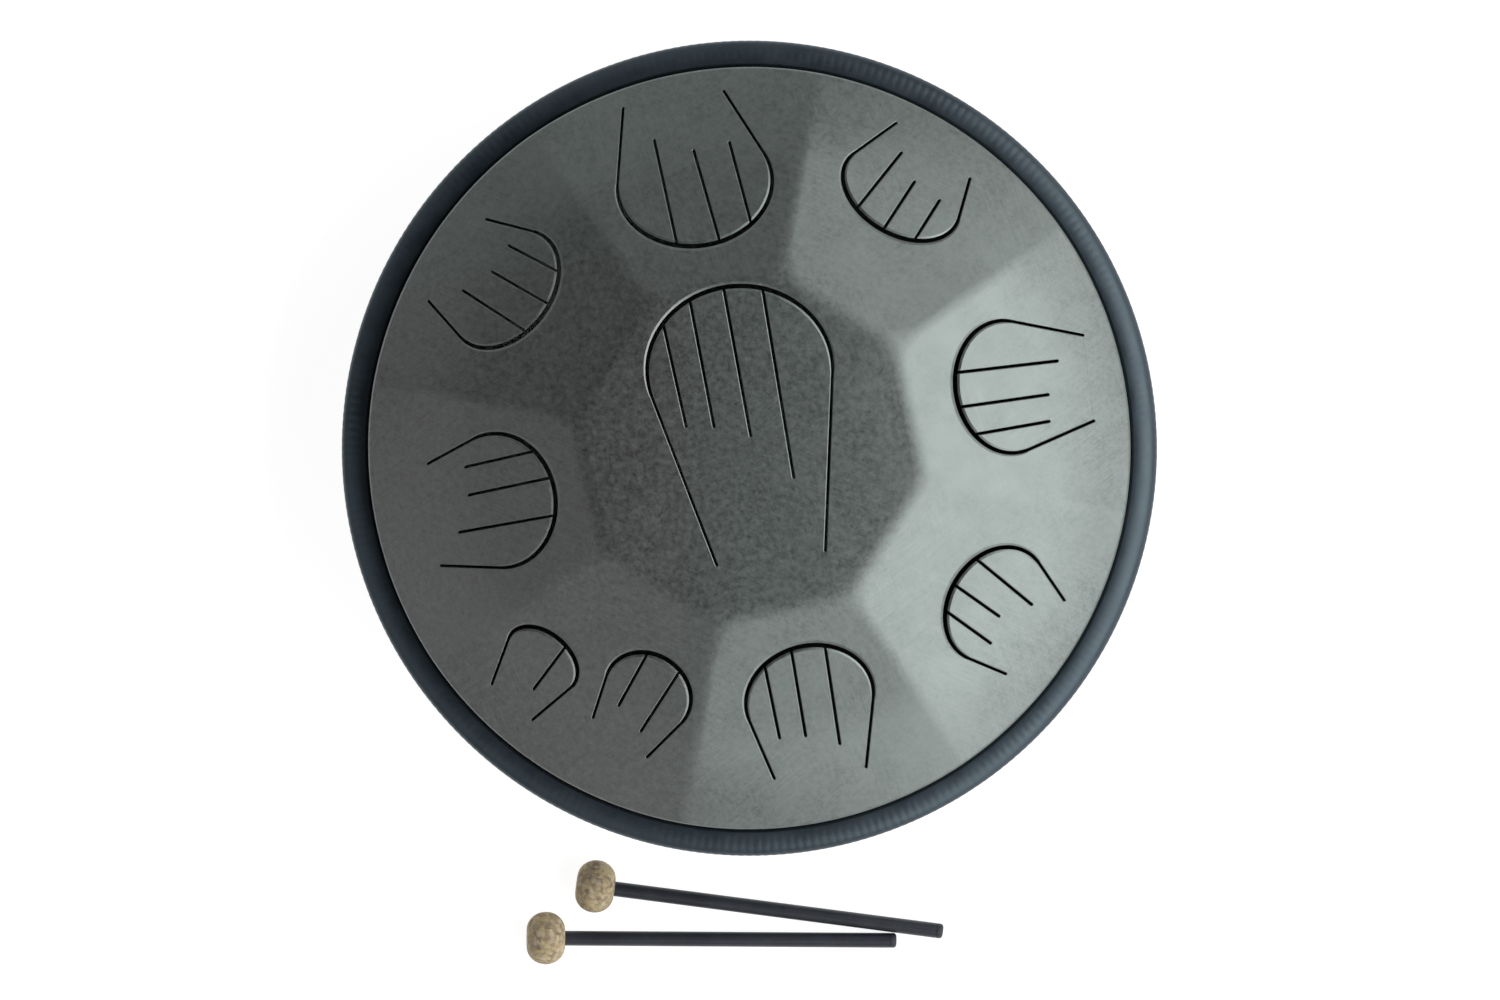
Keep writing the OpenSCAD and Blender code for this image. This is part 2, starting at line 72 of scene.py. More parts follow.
# Top shell: a crowned disc with a soft bend round it, and facets whose creases get sharper away from it
DISC_R = 92
DISC_SOFT = 5
CROWN_SLOPE = 3.2
FACETS = 8
FACET_TURN = 360 / FACETS
FACET_SLOPE = 18
CREASE_TURN = -10.3
DISC_CREASE_SOFT = 12
CREASE_SOFT = 4
SHARPEN_W = 25

# Its outer part, where the facets steepen and grow rounder, and the bend, wall and foot at its edge
STEEPEN_W = 64
EDGE_SLOPE = 29
FADE_W = 60
EDGE_ROUND_SHARE = 0.5
EDGE_INSIDE_R = 0.8
EDGE_BEND_R = EDGE_INSIDE_R + SHEET_T
WALL_SLOPE = 88
WALL_H = 10
FOOT_BEND_R = 1.6

# Tongue slits and the width of their rounded lips
TIP_SLIT_W = 2.4
LEG_SLIT_W = 1.4
FINGER_SLIT_W = 1.5
TIP_LIP = 1.55
LEG_LIP = 0.5
# Above a slit's wall comes a narrow burr, then the lip's curve. Heights and (out, height) are shares of the
# lip's width, and the heights start from the sheet's face.
WALL_TOP = -0.6
BURR_TOP = -0.36
BURR_W = 0.1
LIP_CURVE = ((0.45, -0.19), (1.05, 0.03))
# Turns of the sections that make a slit's round end, from its tip on
ROUND_END = (78, 55, 32, 12)
# Room at a tongue's root, so that it swings clear of the shell
ROOT_GAP = 0.04
# How far the cutting tools reach past the sheet's face, and how far above the rim's middle the blocks start
TOOL_REACH = 6
TOOL_START = 6

# Shading of the sheet: sharpest smooth crease, tilt from which a slit wall gets painted shade, margin inside
# the edge
SHEET_CREASE = 13
CUT_STEEPNESS = 42
SHADE_MARGIN = 0.5

# Bottom shell: a bowl that sweeps up from a flat floor, and the sound port's neck turned into it
BOWL_DEPTH = 70
FLOOR_R = 95
BOWL_SWEEP = 75
BOWL_BEND_R = 3
PORT_R = 52
NECK_H = 12
NECK_BEND_R = 3

# Base ring: width of its section and rounding of its lower edges
BASE_W = 20
BASE_ROUND = 3

# Rim trim: the bed of the steel carrier inside it, its two lips, and the skirt at the upper lip, a dark
# rubber sheet in the gap by the shell's wall that stands in for the shade there
CARRIER_T = 0.8
CLIP_GAP = 0.1
CARRIER_BEND_R = 0.2
LIP_T = 3
LIP_IN = 0.3
LIP_ROUND = 0.9
SHADE_SKIRT_T = 0.8
SHADE_SKIRT_UP = 0.5
SHADE_SKIRT_GAP = 0.2
# Its cross ribs: how many, how deep, points on each, and how narrow the grooves between them are
RIBS = 304
RIB_DEPTH = 0.2
RIB_POINTS = 5
RIB_SHARPNESS = 3
# How far outside the flat flange the ribs start, how wide they fade in, and how far out counts as the dome
RIB_START = 2
RIB_FADE_W = 3
RIB_DOME_SHARE = 0.98
# Their uneven depth: mean, spread and least share, the number of patches along the drum's radius, and the
# slice of the noise that is used
RIB_MEAN = 0.55
RIB_SPREAD = 0.45
RIB_LEAST = 0.15
RIB_PATCHES = 6
RIB_SLICE = 0.3

# Mallets: length from the tail to the head's middle, the shaft, the head and the cap in the tail
MALLET_LEN = 200.5
SHAFT_R = 4.25
SHAFT_BORE_R = 2.6
SHAFT_CHAMFER = 0.15
HEAD_R = 15
HEAD_T = 21.8
HEAD_FLAT_R = HEAD_R / 3
SHAFT_REACH = 4
CAP_LEN = 3.6
CAP_ROUND = 1.8
GROOVE_DEPTH = 0.3
SPIGOT_LEN = 9
GLUE_FIT = 0.05
# How they lie: the outer one's distance from the drum, where the tails end, their turns and the gap between
MALLET_OUT = 51
TAIL_RIGHT = 84
TAIL_PAST = 28
OUTER_TURN = 0.5
SPLAY = 7
MALLET_GAP = 0.3

# Steps of the meshes' round stretches
BEND_STEPS = 8
DRUM_STEPS = 256
MALLET_STEPS = 96
# Points closer together than this are one point
SAME_POINT = 0.001


def sin(a):
    return math.sin(math.radians(a))


def cos(a):
    return math.cos(math.radians(a))


def tan(a):
    return math.tan(math.radians(a))


# Shape of the top shell


def soft_ramp(s, w):
    """0 before the corner and s after it, softened over w on each side."""
    if s <= -w:
        return 0
    return s if s >= w else (s + w) ** 2 / (4 * w)


def soft_abs(s, w):
    """The size of s, with the corner at 0 softened over w on each side."""
    return (s * s + w * w) / (2 * w) if abs(s) < w else abs(s)


def smooth_step(s):
    """Rises gently from 0 to 1 while s does."""
    t = max(0, min(1, s))
    return t * t * (3 - 2 * t)


EDGE_R = (FLANGE_R - FOOT_BEND_R * sin(WALL_SLOPE) - WALL_H / tan(WALL_SLOPE)
          - EDGE_BEND_R * (sin(WALL_SLOPE) - sin(EDGE_SLOPE)))
EDGE_Z = (RIM_Z + BOND_T / 2 + SHEET_T + FOOT_BEND_R * (1 - cos(WALL_SLOPE)) + WALL_H
          + EDGE_BEND_R * (cos(EDGE_SLOPE) - cos(WALL_SLOPE)))
FADE_R = EDGE_R - FADE_W
STEEPEN_R = EDGE_R - STEEPEN_W
# Each soft bend going outwards: radius, half width, change of the slope's tangent
BENDS = (
    (DISC_R / 2, DISC_R / 2, tan(CROWN_SLOPE)),
    (DISC_R, DISC_SOFT, tan(FACET_SLOPE) - tan(CROWN_SLOPE)),
    (STEEPEN_R + STEEPEN_W / 2, STEEPEN_W / 2, tan(EDGE_SLOPE) - tan(FACET_SLOPE)),
)


def drop(q):
    """How far the top shell has dropped at distance q from the middle."""
    return sum(steeper * soft_ramp(q - r, w) for r, w, steeper in BENDS)


def facet_distance(x, y):
    """Distance from the middle, square to the nearest facet, and rounder near the edge."""
    r = math.hypot(x, y)
    turn = math.degrees(math.atan2(y, x)) - CREASE_TURN
    off = turn - FACET_TURN * round(turn / FACET_TURN)
    half = FACET_TURN / 2
    soft = DISC_CREASE_SOFT + (CREASE_SOFT - DISC_CREASE_SOFT) * smooth_step((r - DISC_R) / SHARPEN_W)
    flat = r * cos(off) * cos(half) + soft_abs(r * sin(off), soft) * sin(half)
    return flat + (r - flat) * EDGE_ROUND_SHARE * smooth_step((r - FADE_R) / FADE_W)


TOP_RISE = drop(EDGE_R)


def top_z(x, y):
    """Height of the top shell's upper face."""
    return EDGE_Z + TOP_RISE - drop(facet_distance(x, y))


def top_normal(x, y, probe=0.05):
    """Direction square to the top shell's face, measured over a small probe on each side."""
    along = (top_z(x + probe, y) - top_z(x - probe, y)) / (2 * probe)
    up = (top_z(x, y + probe) - top_z(x, y - probe)) / (2 * probe)
    return Vector((-along, -up, 1)).normalized()


# Lines and outlines in the plane


def arc(p, start, end, r, steps):
    """Points (x, y, heading) of a bend that starts at p and turns from one heading to another."""
    side = 1 if end > start else -1
    cx, cy = p[0] - side * r * sin(start), p[1] + side * r * cos(start)
    line = []
    for k in range(steps + 1):
        h = start + (end - start) * k / steps
        line.append((cx + side * r * sin(h), cy - side * r * cos(h), h))
    return line


def both_faces(line, t):
    """Closed outline of a sheet of thickness t round its middle line."""
    left = [(x - t / 2 * sin(h), y + t / 2 * cos(h)) for x, y, h in line]
    right = [(x + t / 2 * sin(h), y - t / 2 * cos(h)) for x, y, h in reversed(line)]
    return left + right


def rounded(path, steps=6):
    """Closed outline through (x, y, corner radius) points, with its corners rounded."""
    out = []
    for k, (x, y, r) in enumerate(path):
        b = Vector((x, y))
        if r == 0:
            out.append((x, y))
            continue
        u = (Vector(path[k - 1][:2]) - b).normalized()
        v = (Vector(path[(k + 1) % len(path)][:2]) - b).normalized()
        half = u.angle(v) / 2
        centre = b + (u + v).normalized() * r / math.sin(half)
        start = b + u * r / math.tan(half) - centre
        turn = (math.pi - 2 * half) * (-1 if u.x * v.y - u.y * v.x > 0 else 1)
        for s in range(steps + 1):
            p = centre + Matrix.Rotation(turn * s / steps, 2) @ start
            out.append((p.x, p.y))
    return out


def spread(lo, hi, pitch):
    """Evenly spaced numbers from lo up to, but not including, hi."""
    count = max(1, round((hi - lo) / pitch))
    return [lo + (hi - lo) * k / count for k in range(count)]


# Meshes


def add_object(name, data):
    """Puts a new object with this mesh, light or camera in the scene."""
    made = bpy.data.objects.new(name, data)
    bpy.context.scene.collection.objects.link(made)
    return made


def new_piece(name, bm):
    """Makes an object of the mesh that was built."""
    bmesh.ops.recalc_face_normals(bm, faces=bm.faces)
    mesh = bpy.data.meshes.new(name)
    bm.to_mesh(mesh)
    bm.free()
    return add_object(name, mesh)


def smooth(piece, angle=32):
    """Shades the piece smooth, with the edges sharper than the angle kept crisp."""
    mesh = piece.data
    mesh.shade_smooth()
    mesh.set_sharp_from_angle(angle=math.radians(angle))


def loft(rings, start=None, end=None, ring_shape=False):
    """Skins rings of points, each closed on itself. start and end are points that close the two ends;
    without them an end is closed by one face, unless the rings themselves close in a ring."""
    bm = bmesh.new()
    rows = [[bm.verts.new(Vector(p) * MM) for p in ring] for ring in rings]
    n = len(rows[0])
    pairs = list(zip(rows, rows[1:]))
    if ring_shape:
        pairs.append((rows[-1], rows[0]))
    for a, b in pairs:
        for k in range(n):
            bm.faces.new((a[k], a[(k + 1) % n], b[(k + 1) % n], b[k]))
    if not ring_shape:
        for row, tip in ((rows[0], start), (rows[-1], end)):
            if tip is None:
                bm.faces.new(row)
                continue
            v = bm.verts.new(Vector(tip) * MM)
            for k in range(n):
                bm.faces.new((row[k], row[(k + 1) % n], v))
    return bm


def turned(section, steps=DRUM_STEPS):
    """Skin of a closed (r, z) section turned round the Z axis.
    A section whose ends lie on the axis is closed there."""
    on_axis = section[0][0] == 0 and section[-1][0] == 0
    inner = section[1:-1] if on_axis else section
    turns = [360 * k / steps for k in range(steps)]
    rings = [[(r * cos(a), r * sin(a), z) for a in turns] for r, z in inner]
    if on_axis:
        return loft(rings, (0, 0, section[0][1]), (0, 0, section[-1][1]))
    return loft(rings, ring_shape=True)


def known_normal(known, at):
    """The sheet's direction there, worked out once for each place."""
    key = (round(at.x, 2), round(at.y, 2))
    if key not in known:
        known[key] = top_normal(at.x, at.y)
    return known[key]


def shade_sheet(piece):
    """Gives the steep walls of the slits near-black steel, a painted shade for the inside of the slits, and
    the points of the sheet's own faces the sheet's exact direction, so that the cuts don't ripple its
    shading."""
    mesh = piece.data
    mesh.materials.append(SLIT_SHADE_STEEL)
    mesh.shade_smooth()
    known, flats = {}, {}
    for face in mesh.polygons:
        middle = face.center / MM
        if math.hypot(middle.x, middle.y) < EDGE_R - SHADE_MARGIN:
            flats[face.index] = known_normal(known, middle)
    for index, flat in flats.items():
        face = mesh.polygons[index]
        # steep slit walls get near-black steel: painted shade for the inside of the slits
        if abs(face.normal @ flat) < cos(CUT_STEEPNESS):
            face.material_index = 1
            face.use_smooth = False
    mesh.set_sharp_from_angle(angle=math.radians(SHEET_CREASE))
    normals = [Vector((0, 0, 0))] * len(mesh.loops)
    for index, flat in flats.items():
        face = mesh.polygons[index]
        side = 1 if face.normal.z > 0 else -1
        if face.normal @ flat * side < cos(SHEET_CREASE / 2):
            continue
        for k in face.loop_indices:
            at = mesh.vertices[mesh.loops[k].vertex_index].co / MM
            normals[k] = known_normal(known, at) * side
    mesh.normals_split_custom_set(normals)


def carve(piece, tool, operation="DIFFERENCE"):
    """Applies a boolean cut to the piece's mesh."""
    mod = piece.modifiers.new("cut", "BOOLEAN")
    mod.operation = operation
    mod.solver = "MANIFOLD"
    mod.object = tool
    bpy.context.view_layer.update()
    cut = bpy.data.meshes.new_from_object(piece.evaluated_get(bpy.context.evaluated_depsgraph_get()))
    piece.modifiers.clear()
    old, piece.data = piece.data, cut
    cut.name = piece.name
    bpy.data.meshes.remove(old)


def scrap(*tools):
    for tool in tools:
        bpy.data.objects.remove(tool)


# Finishes

# Noise lies mostly between these two values
NOISE_SPAN = (0.3, 0.7)
# Places of the Mix node's sockets for colours
MIX_COLOURS = (6, 7)
MIX_RESULT = 2


class Nodes:
    """A node tree that nodes are added to. Where a value is asked for, another node's output may stand."""

    def __init__(self, tree):
        self.tree = tree
        self.nodes, self.links = tree.nodes, tree.links

    def fill(self, socket, value):
        if isinstance(value, bpy.types.NodeSocket):
            self.links.new(value, socket)
        else:
            socket.default_value = value

    def node(self, kind, inputs=None, **settings):
        made = self.nodes.new(kind)
        for key, value in settings.items():
            setattr(made, key, value)
        for key, value in (inputs or {}).items():
            self.fill(made.inputs[key], value)
        return made

    def place(self):
        """The point's own place on the object, in metres."""
        return self.node("ShaderNodeTexCoord").outputs["Object"]

    def maths(self, operation, first, second):
        return self.node("ShaderNodeMath", {0: first, 1: second}, operation=operation).outputs[0]

    def between(self, mask, low, high, low_at=0.0, high_at=1.0):
        """Turns a mask into a number between low and high."""
        made = self.node("ShaderNodeMapRange", {"Value": mask, "From Min": low_at, "From Max": high_at,
                                                "To Min": low, "To Max": high})
        return made.outputs["Result"]


class Effect(Nodes):
    """A shader node group with named inputs and outputs."""

    def __init__(self, name, inputs, outputs):
        super().__init__(bpy.data.node_groups.new(name, "ShaderNodeTree"))
        for label, value in inputs.items():
            socket = self.tree.interface.new_socket(label, in_out="INPUT", socket_type="NodeSocketFloat")
            socket.default_value = value
        for label in outputs:
            self.tree.interface.new_socket(label, in_out="OUTPUT", socket_type="NodeSocketFloat")
        self.given = self.nodes.new("NodeGroupInput").outputs
        self.result = self.nodes.new("NodeGroupOutput").inputs

    def noise(self, where, scale, detail, rough=0.5):
        made = self.node("ShaderNodeTexNoise", {"Vector": where, "Scale": scale, "Detail": detail,
                                                "Roughness": rough})
        return made.outputs["Fac"]

    def window(self, value, low, high):
        """0 below low and 1 above high, with soft ends."""
        made = self.node("ShaderNodeMapRange", {"Value": value, "From Min": low, "From Max": high},
                         interpolation_type="SMOOTHSTEP")
        return made.outputs["Result"]

    def put(self, output, label):
        self.links.new(output, self.result[label])


# Sanding: direction, scale of the patches that show it, and a shift that sets each direction apart
SANDINGS = ((24, 9, 3.1), (-38, 12, 11.7), (71, 15, 23.9))
STREAK_SCALE = 1500.0
STREAK_DEPTH_SCALE = 40.0
PATCH_EDGE = (0.42, 0.62)


def make_brushing():
    """Fine scratches left by sanding in several directions, each direction in its own patches.
    A scratch is about two thirds of Length millimetres long, and a higher Fineness makes it narrower."""
    fx = Effect("brushing", {"Length": 60.0, "Fineness": 1.0}, ("Scratches",))
    where = fx.place()
    stretch = fx.node("ShaderNodeCombineXYZ", {"X": fx.maths("DIVIDE", STREAK_SCALE, fx.given["Length"]),
                                               "Y": fx.maths("MULTIPLY", STREAK_SCALE, fx.given["Fineness"]),
                                               "Z": STREAK_DEPTH_SCALE}).outputs[0]
    streaks = None
    for turn, patch_scale, shift in SANDINGS:
        across = fx.node("ShaderNodeMapping", {"Vector": where, "Rotation": (0, 0, math.radians(turn)),
                                               "Location": (shift, shift, 0)}).outputs[0]
        scaled = fx.node("ShaderNodeVectorMath", {0: across, 1: stretch}, operation="MULTIPLY").outputs[0]
        lines = fx.noise(scaled, scale=1.0, detail=3.0, rough=0.6)
        patch = fx.window(fx.noise(across, patch_scale, detail=2.0), *PATCH_EDGE)
        mark = fx.maths("MULTIPLY", fx.maths("SUBTRACT", lines, 0.5), patch)
        streaks = mark if streaks is None else fx.maths("ADD", streaks, mark)
    fx.put(fx.maths("ADD", streaks, 0.5), "Scratches")
    return fx.tree


def make_clouding():
    """Soft blotches of one size and a fine speckle of another, both in millimetres."""
    fx = Effect("clouding", {"Blotch Size": 60.0, "Speckle Size": 1.2}, ("Blotches", "Speckle"))
    where = fx.place()
    blotch_scale = fx.maths("DIVIDE", 1 / MM, fx.given["Blotch Size"])
    speckle_scale = fx.maths("DIVIDE", 1 / MM, fx.given["Speckle Size"])
    fx.put(fx.window(fx.noise(where, blotch_scale, detail=5.0, rough=0.68), *NOISE_SPAN), "Blotches")
    fx.put(fx.noise(where, speckle_scale, detail=4.0, rough=0.75), "Speckle")
    return fx.tree


BRUSHING = make_brushing()
CLOUDING = make_clouding()


class Finish(Nodes):
    """A material under construction: a Principled shader and the nodes that feed it."""

    def __init__(self, name, metallic=0.0):
        self.material = bpy.data.materials.new(name)
        self.material.use_nodes = True
        super().__init__(self.material.node_tree)
        self.shader = self.nodes["Principled BSDF"]
        self.fill(self.shader.inputs["Metallic"], metallic)

    def feed(self, value, label):
        self.fill(self.shader.inputs[label], value)

    def brushing(self, length, fineness):
        made = self.node("ShaderNodeGroup", {"Length": length, "Fineness": fineness}, node_tree=BRUSHING)
        return made.outputs["Scratches"]

    def clouding(self, blotch_size, speckle_size):
        made = self.node("ShaderNodeGroup", {"Blotch Size": blotch_size, "Speckle Size": speckle_size},
                         node_tree=CLOUDING)
        return made.outputs["Blotches"], made.outputs["Speckle"]

    def colours(self, factor, first, second):
        """Blends two colours, each three numbers or a node's output."""
        mix = self.node("ShaderNodeMix", {0: factor}, data_type="RGBA")
        for index, colour in zip(MIX_COLOURS, (first, second)):
            self.fill(mix.inputs[index], (*colour, 1) if isinstance(colour, tuple) else colour)
        return mix.outputs[MIX_RESULT]

    def bump(self, height, depth, strength):
        """Fine relief that follows a mask; its depth is in millimetres."""
        made = self.node("ShaderNodeBump", {"Height": height, "Strength": strength, "Distance": depth * MM})
        self.feed(made.outputs["Normal"], "Normal")


# The steel turns neutral grey to the left of the first X and below the first Y, and fully so at the second,
# in metres
GREY_TINT_X = (-0.008, -0.055)
GREY_TINT_Y = (0.125, 0.065)


def satin_steel():
    """Greenish grey satin steel with sanding marks and cloudy patches, turning neutral grey at the left."""
    f = Finish("satin_steel", metallic=1.0)
    scratches = f.brushing(length=22.0, fineness=0.8)
    blotches, speckle = f.clouding(blotch_size=26.0, speckle_size=3.2)
    plain = f.colours(blotches, (0.122, 0.142, 0.136), (0.172, 0.198, 0.190))
    place = f.node("ShaderNodeSeparateXYZ", {"Vector": f.place()}).outputs
    on_left = f.between(place["X"], 0.0, 1.0, *GREY_TINT_X)
    below = f.between(place["Y"], 0.0, 1.0, *GREY_TINT_Y)
    # the colour turns neutral grey towards the lower left
    grey_tinted = f.colours(f.maths("MULTIPLY", on_left, below), plain, (0.165, 0.151, 0.154))
    mottled = f.colours(f.between(speckle, 0.0, 0.9, *NOISE_SPAN), grey_tinted, (0.235, 0.264, 0.255))
    shine = f.between(scratches, 0.0, 0.32, 0.42, 0.66)
    f.feed(f.colours(shine, mottled, (0.27, 0.30, 0.29)), "Base Color")
    f.feed(f.between(speckle, 0.38, 0.51, *NOISE_SPAN), "Roughness")
    f.bump(speckle, depth=0.05, strength=0.3)
    return f.material


def strip_steel():
    """Plain strip steel with fine marks."""
    f = Finish("strip_steel", metallic=1.0)
    scratches = f.brushing(length=30.0, fineness=0.7)
    f.feed(f.colours(scratches, (0.40, 0.40, 0.41), (0.62, 0.62, 0.62)), "Base Color")
    f.feed(f.between(scratches, 0.35, 0.5, *NOISE_SPAN), "Roughness")
    return f.material


def clouded(name, sizes, colours, roughness, relief=None, metallic=0.0):
    """A finish of two close colours in soft blotches, with a speckle in its roughness and its relief.
    The sizes are those of the blotches and the speckle, and a relief is a depth and a strength."""
    f = Finish(name, metallic)
    blotches, speckle = f.clouding(*sizes)
    f.feed(f.colours(blotches, *colours), "Base Color")
    f.feed(f.between(speckle, *roughness, *NOISE_SPAN), "Roughness")
    if relief:
        f.bump(speckle, *relief)
    return f.material


def slit_shade_steel():
    """Walls of the cut slits: near-black steel with a dark blue tint, a painted shade for the inside of the
    slits.
    """
    return clouded("slit_shade_steel", (6.0, 0.8), ((0.018, 0.022, 0.045), (0.034, 0.040, 0.070)), (0.42, 0.6),
                   metallic=1.0)


def set_adhesive():
    """Cured black adhesive."""
    return clouded("set_adhesive", (10.0, 1.5), ((0.012, 0.012, 0.012), (0.03, 0.03, 0.03)), (0.5, 0.75))


def base_rubber():
    """Matt black rubber."""
    return clouded("base_rubber", (20.0, 0.7), ((0.012, 0.012, 0.014), (0.022, 0.022, 0.024)), (0.6, 0.85),
                   relief=(0.12, 0.6))


def trim_rubber():
    """Satin blue-black rubber with paler specks and a cool sheen."""
    f = Finish("trim_rubber")
    f.feed(0.85, "Specular IOR Level")
    f.feed((0.70, 0.90, 1.0, 1), "Specular Tint")
    blotches, speckle = f.clouding(blotch_size=14.0, speckle_size=0.9)
    plain = f.colours(blotches, (0.011, 0.016, 0.023), (0.018, 0.024, 0.033))
    specks = f.between(speckle, 0.0, 0.4, 0.45, 0.75)
    f.feed(f.colours(specks, plain, (0.036, 0.044, 0.054)), "Base Color")
    f.feed(f.between(blotches, 0.35, 0.43), "Roughness")
    f.bump(speckle, depth=0.06, strength=0.5)
    return f.material


def rod_finish():
    """Blue-black satin rod."""
    return clouded("rod_finish", (18.0, 0.8), ((0.012, 0.015, 0.024), (0.024, 0.028, 0.038)), (0.32, 0.5),
                   relief=(0.04, 0.4))


def cap_rubber():
    """Rubber a little paler than the rod."""
    return clouded("cap_rubber", (8.0, 0.6), ((0.018, 0.020, 0.028), (0.030, 0.033, 0.042)), (0.42, 0.6),
                   relief=(0.05, 0.5))


GRAIN_SCALE = 420.0


def mottled_head():
    """Pressed granulate: yellowish tan grains, some brown and some pale, darker along fine seams."""
    f = Finish("mottled_head")
    blotches, _ = f.clouding(blotch_size=6.0, speckle_size=0.8)
    grains = f.node("ShaderNodeTexVoronoi", {"Vector": f.place(), "Scale": GRAIN_SCALE, "Randomness": 1.0})
    from_middle = grains.outputs["Distance"]
    chance = f.node("ShaderNodeSeparateColor", {"Color": grains.outputs["Color"]}).outputs
    plain = f.colours(f.between(blotches, 0.0, 1.0, 0.1, 0.7), (0.30, 0.215, 0.130), (0.50, 0.405, 0.225))
    with_brown = f.colours(f.between(chance[0], 0.0, 0.6, 0.6, 0.95), plain, (0.17, 0.130, 0.115))
    with_pale = f.colours(f.between(chance[1], 0.0, 0.6, 0.55, 0.95), with_brown, (0.60, 0.52, 0.36))
    seam = f.between(from_middle, 0.0, 0.55, 0.55, 1.0)
    f.feed(f.colours(seam, with_pale, (0.13, 0.105, 0.10)), "Base Color")
    f.feed(f.between(chance[2], 0.7, 0.95), "Roughness")
    f.bump(f.between(from_middle, 1.0, 0.0, 0.0, 1.2), depth=0.35, strength=0.8)
    return f.material


SATIN_STEEL = satin_steel()
# near-black steel for the slit walls, a painted shade
SLIT_SHADE_STEEL = slit_shade_steel()


def finish_piece(piece, finish, body, slot, node, shade=smooth):
    """Gives a piece its finish and shading, and its place in the frame."""
    piece.data.materials.clear()
    piece.data.materials.append(finish)
    shade(piece)
    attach(piece, body)
    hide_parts(node)


# Top shell and tongues

# Each tongue: direction and radius share of its tip's centre, heading of the tip, half width and half depth
# shares, right and left leg ends as (direction, radius share), and fingers as (start across, end across,
# end along) in shares of the half width. The other shares are of the drum's radius.
TONGUES = {
    "centre": (97, 0.191, 93, 0.225, 0.203, (-53.5, 0.310), (-105.5, 0.296),
               ((-0.80, -0.61, -0.58), (-0.50, -0.31, -0.60), (-0.13, 0.08, -0.72), (0.29, 0.52, -1.19))),
    "top": (101.7, 0.656, -83, 0.189, 0.152, (110.4, 0.885), (94.1, 0.874),
            ((0.32, 0.45, -0.63), (-0.23, -0.04, -0.43), (-0.66, -0.51, -0.48))),
    "top_right": (59.2, 0.723, -120, 0.154, 0.102, (65.7, 0.871), (50.7, 0.850),
                  ((0.49, 0.32, -0.56), (-0.04, -0.09, -0.26), (-0.55, -0.58, -0.20))),
    "right": (13.3, 0.647, -171, 0.162, 0.129, (18.7, 0.860), (4.5, 0.844),
              ((0.33, 0.27, -0.80), (-0.19, -0.21, -0.58), (-0.63, -0.61, -0.53))),
    "lower_right": (-32.4, 0.712, 148, 0.148, 0.115, (-25.8, 0.854), (-41.4, 0.834),
                    ((0.46, 0.31, -0.50), (-0.09, -0.14, -0.14), (-0.53, -0.59, -0.26))),
    "bottom": (-76.5, 0.628, 105, 0.157, 0.129, (-69.9, 0.829), (-85.7, 0.809),
               ((-0.54, -0.61, -0.47), (-0.08, -0.21, -0.54), (0.44, 0.27, -0.80))),
    "low_left": (-112.5, 0.646, 55, 0.110, 0.094, (-108.3, 0.794), (-120.1, 0.760),
                 ((-0.51, -0.37, -0.59), (0.30, 0.36, -0.78))),
    "far_left": (-134.4, 0.721, 50, 0.098, 0.064, (-128.6, 0.849), (-137.5, 0.853),
                 ((0.24, 0.31, -0.71),)),
    "left": (-168.1, 0.624, 10, 0.164, 0.139, (-159.1, 0.805), (-177.2, 0.785),
             ((-0.63, -0.58, -0.40), (-0.20, -0.16, -0.42), (0.36, 0.36, -0.66))),
    "upper_left": (147, 0.711, -38, 0.160, 0.113, (155.4, 0.862), (139, 0.851),
                   ((-0.71, -0.56, -0.36), (-0.23, -0.09, -0.31), (0.31, 0.41, -0.49))),
}


def polar(direction, share):
    """Point in that direction, at that share of the drum's radius."""
    return Vector((cos(direction), sin(direction))) * DRUM_R * share


